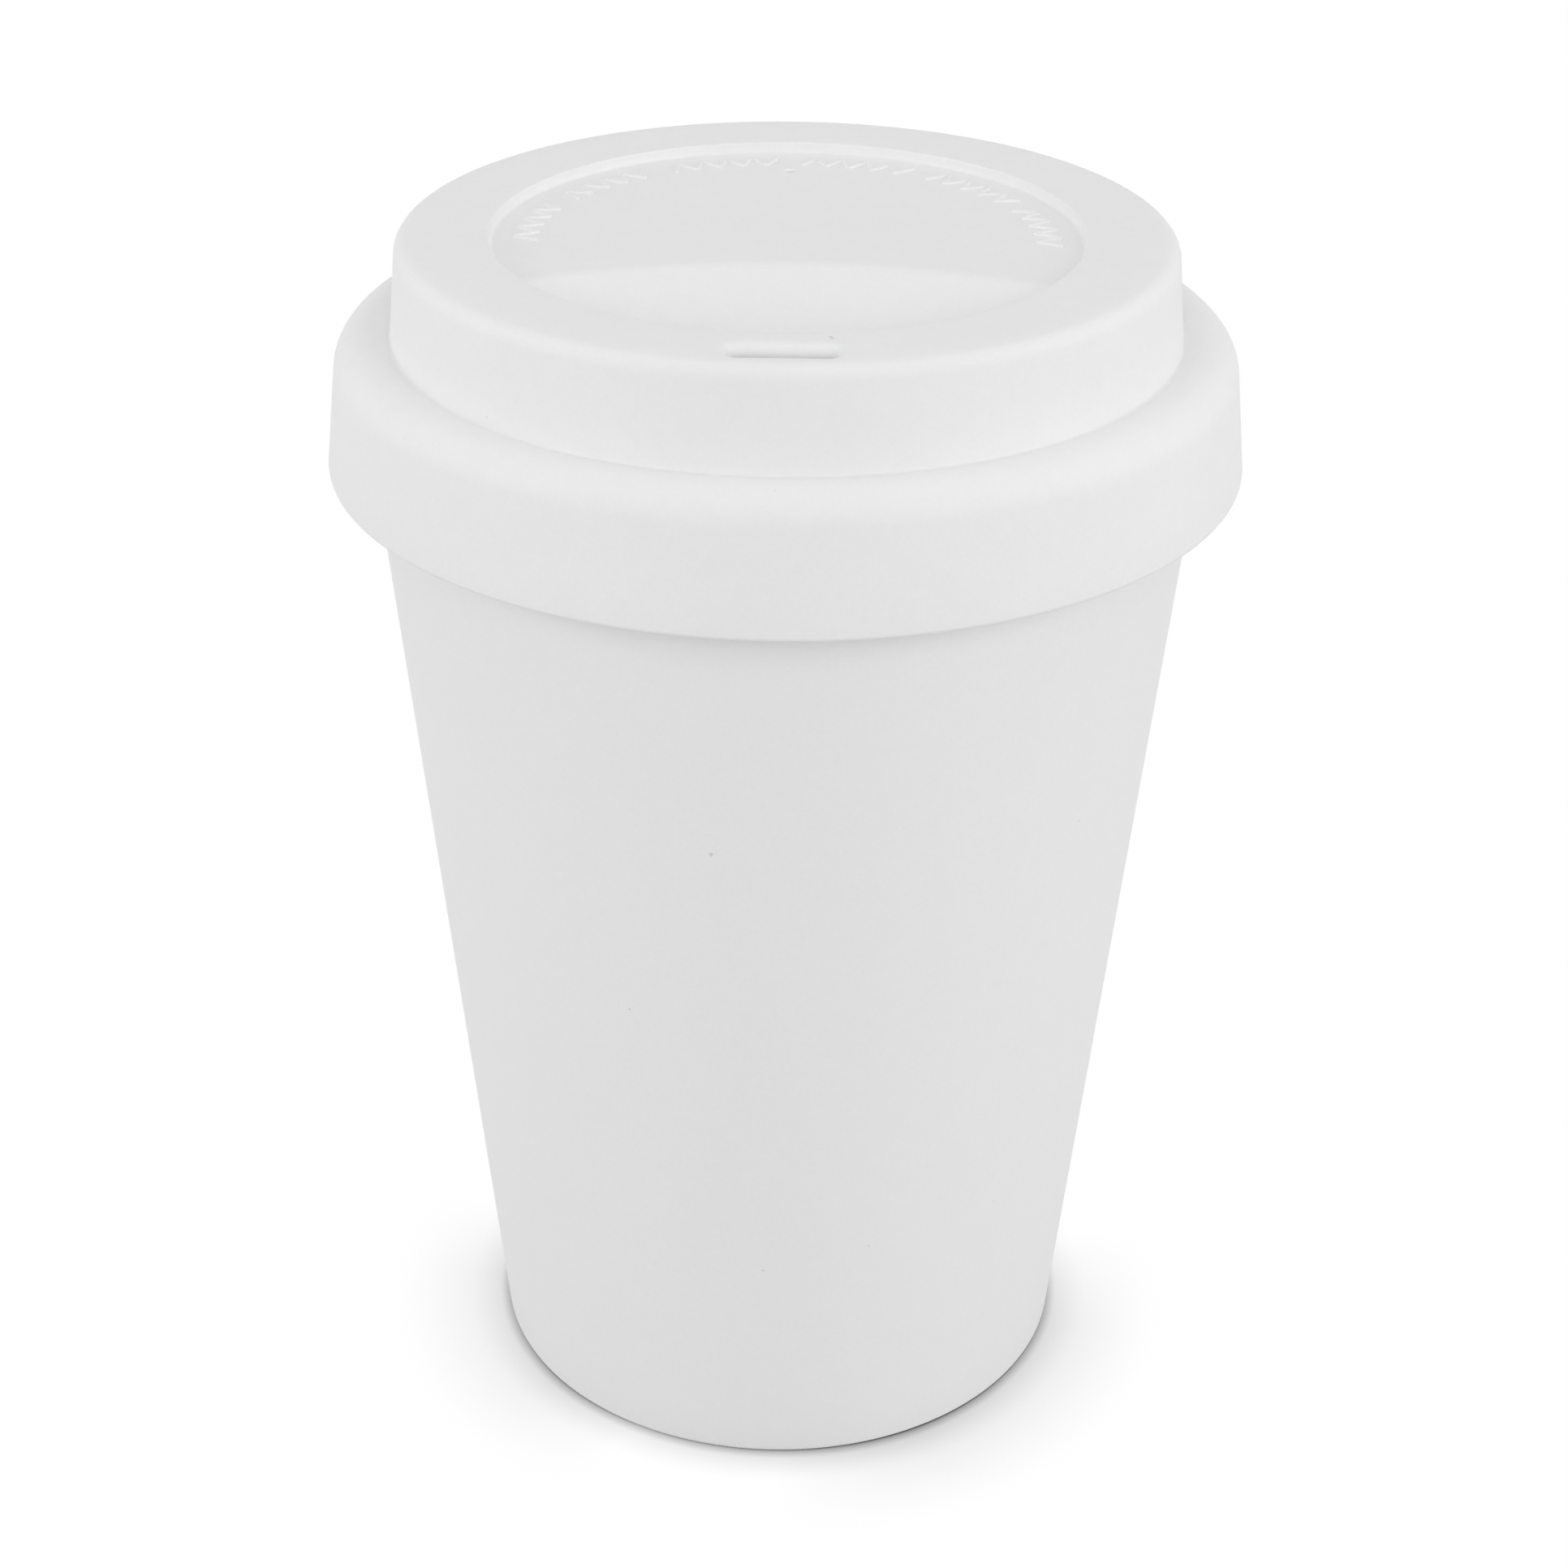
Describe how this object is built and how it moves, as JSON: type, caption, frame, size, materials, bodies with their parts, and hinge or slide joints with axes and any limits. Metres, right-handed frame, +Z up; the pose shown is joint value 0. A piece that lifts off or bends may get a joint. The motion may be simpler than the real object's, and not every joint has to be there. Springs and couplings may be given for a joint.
{
  "type": "reusable coffee cup",
  "caption": "Tapered matte white takeaway coffee cup with a soft lift-off lid that has a raised top, a shallow dish with a lip well, a drinking slot and a vent.",
  "frame": {"origin": "middle of the foot, on the surface that the cup stands on", "axes": "+Z up along the cup's axis, the drinking slot on the -Y side and the vent on the +Y side"},
  "size_m": [0.0938, 0.0938, 0.1301],
  "materials": {
    "cup_shell": "fine matte white, with a faint mottle and a few dark flecks",
    "lid_silicone": "soft matte white silicone"
  },
  "bodies": {
    "cup": {"cup": "cup_shell"},
    "lid": {"lid": "lid_silicone"}
  },
  "joints": [
    {"name": "lid_lift", "type": "slide", "parent": "cup", "child": "lid", "axis": [0, 0, 1], "range_m": [0, 0.06]}
  ]
}
